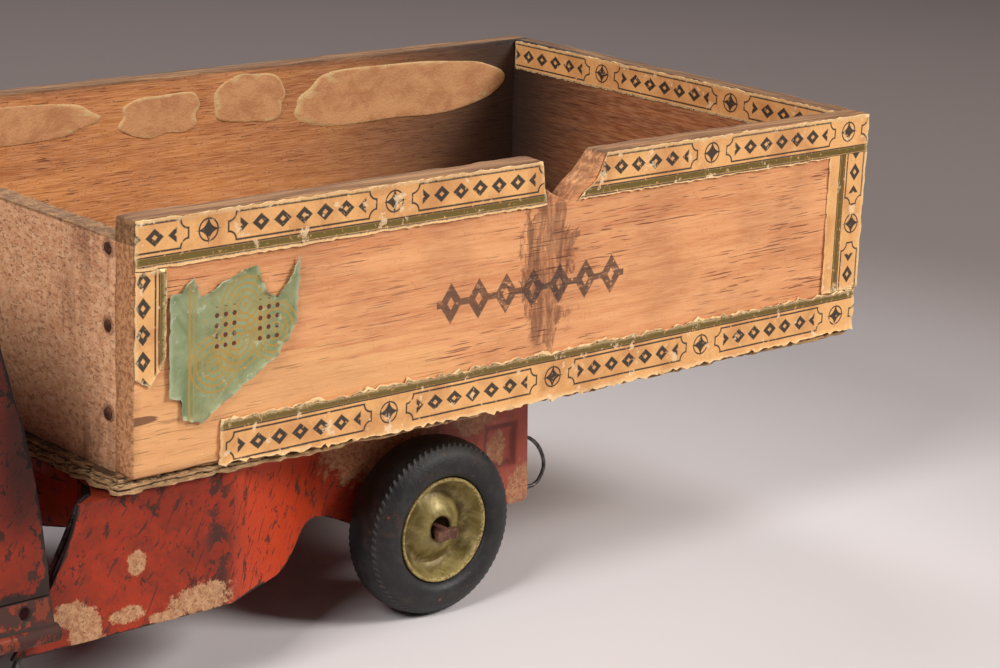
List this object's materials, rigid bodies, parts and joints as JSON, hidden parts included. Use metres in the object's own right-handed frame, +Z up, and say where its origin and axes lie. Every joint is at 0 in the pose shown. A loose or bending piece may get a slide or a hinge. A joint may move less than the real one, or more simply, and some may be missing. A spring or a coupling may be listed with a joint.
{
  "type": "toy dump truck",
  "caption": "Pressed-steel toy dump truck with a tilting bed made from an open wooden cigar box, rubber tyres, hollow cab and a dump lever.",
  "frame": {"origin": "on the floor, under the centre of the whole truck's bounding box", "axes": "+X towards the cab and bumper, +Y to the truck's left side, where the lever is, +Z up"},
  "size_m": [0.3956, 0.1466, 0.1205],
  "materials": {
    "red_paint": "old gloss red enamel, chipped to dark steel, with tan worn patches",
    "dark_steel": "dark oxidised steel",
    "grey_wire": "dull grey drawn wire",
    "plated_trim": "worn plated steel",
    "tyre_rubber": "aged black rubber with brown stains",
    "hub_lacquer": "cream-gold lacquered pressed disc, worn",
    "cedar_wood": "thin orange-brown box cedar, bare and handled",
    "pale_wood": "sawn pale wood, rough",
    "torn_board": "layered board with a torn edge",
    "edging_paper": "printed tan edging paper with gold and navy lines, torn",
    "green_paper": "torn sage-green printed label paper",
    "rusty_iron": "rusty nail heads"
  },
  "bodies": {
    "truck_frame": {"frame_pressing": "red_paint", "rear_axle": "dark_steel", "front_axle": "dark_steel", "tow_loop": "grey_wire", "hinge_bracket_left": "red_paint", "hinge_bracket_right": "red_paint", "hinge_rod": "dark_steel", "shaft_bracket_left": "red_paint", "shaft_bracket_right": "red_paint", "cab_shell": "red_paint", "hood_shell": "red_paint", "grille": "plated_trim", "running_board_left": "red_paint", "running_board_right": "red_paint", "front_fender_left": "red_paint", "front_fender_right": "red_paint", "headlamp_left": "plated_trim", "headlamp_right": "plated_trim", "front_chassis": "red_paint", "bumper": "plated_trim"},
    "load_bed": {"bed_strap_left": "dark_steel", "bed_strap_right": "dark_steel", "bed_side_left": "cedar_wood", "bed_side_right": "cedar_wood", "bed_end_front": "pale_wood", "bed_end_rear": "cedar_wood", "bed_floor_board": "torn_board", "edging_top_front": "edging_paper", "edging_rear": "edging_paper", "edging_bottom": "edging_paper", "edging_front_upright": "edging_paper", "edging_inside_rear": "edging_paper", "torn_label": "green_paper", "nail_front_left_1": "rusty_iron", "nail_front_left_2": "rusty_iron", "nail_front_left_3": "rusty_iron", "nail_front_right_1": "rusty_iron", "nail_front_right_2": "rusty_iron", "nail_front_right_3": "rusty_iron", "nail_rear_left_1": "rusty_iron", "nail_rear_left_2": "rusty_iron", "nail_rear_left_3": "rusty_iron", "nail_rear_right_1": "rusty_iron", "nail_rear_right_2": "rusty_iron", "nail_rear_right_3": "rusty_iron"},
    "lever_assembly": {"lever_shaft": "dark_steel", "lift_arm": "dark_steel", "dump_lever": "grey_wire"},
    "wheel_rear_left": {"tyre_rear_left": "tyre_rubber", "wheel_disc_rear_left": "hub_lacquer", "wheel_back_rear_left": "hub_lacquer"},
    "wheel_rear_right": {"tyre_rear_right": "tyre_rubber", "wheel_disc_rear_right": "hub_lacquer", "wheel_back_rear_right": "hub_lacquer"},
    "wheel_front_left": {"tyre_front_left": "tyre_rubber", "wheel_disc_front_left": "hub_lacquer", "wheel_back_front_left": "hub_lacquer"},
    "wheel_front_right": {"tyre_front_right": "tyre_rubber", "wheel_disc_front_right": "hub_lacquer", "wheel_back_front_right": "hub_lacquer"}
  },
  "joints": [
    {"name": "rear_left_wheel_spin", "type": "hinge", "parent": "truck_frame", "child": "wheel_rear_left", "pos_m": [-0.0643, 0.05345, 0.02206], "axis": [0, 1, 0], "continuous": true},
    {"name": "rear_right_wheel_spin", "type": "hinge", "parent": "truck_frame", "child": "wheel_rear_right", "pos_m": [-0.0643, -0.05345, 0.02206], "axis": [0, 1, 0], "continuous": true},
    {"name": "front_left_wheel_spin", "type": "hinge", "parent": "truck_frame", "child": "wheel_front_left", "pos_m": [0.1448, 0.05345, 0.02206], "axis": [0, 1, 0], "continuous": true},
    {"name": "front_right_wheel_spin", "type": "hinge", "parent": "truck_frame", "child": "wheel_front_right", "pos_m": [0.1448, -0.05345, 0.02206], "axis": [0, 1, 0], "continuous": true},
    {"name": "bed_tilt", "type": "hinge", "parent": "truck_frame", "child": "load_bed", "pos_m": [-0.1087, 0, 0.0495], "axis": [0, -1, 0], "range_deg": [0, 30]},
    {"name": "lever_swing", "type": "hinge", "parent": "truck_frame", "child": "lever_assembly", "pos_m": [0.0268, 0, 0.0468], "axis": [0, 1, 0], "range_deg": [0, 30]}
  ],
  "couplings": [
    {"joint": "lever_swing", "follows": "bed_tilt", "ratio": 1}
  ]
}
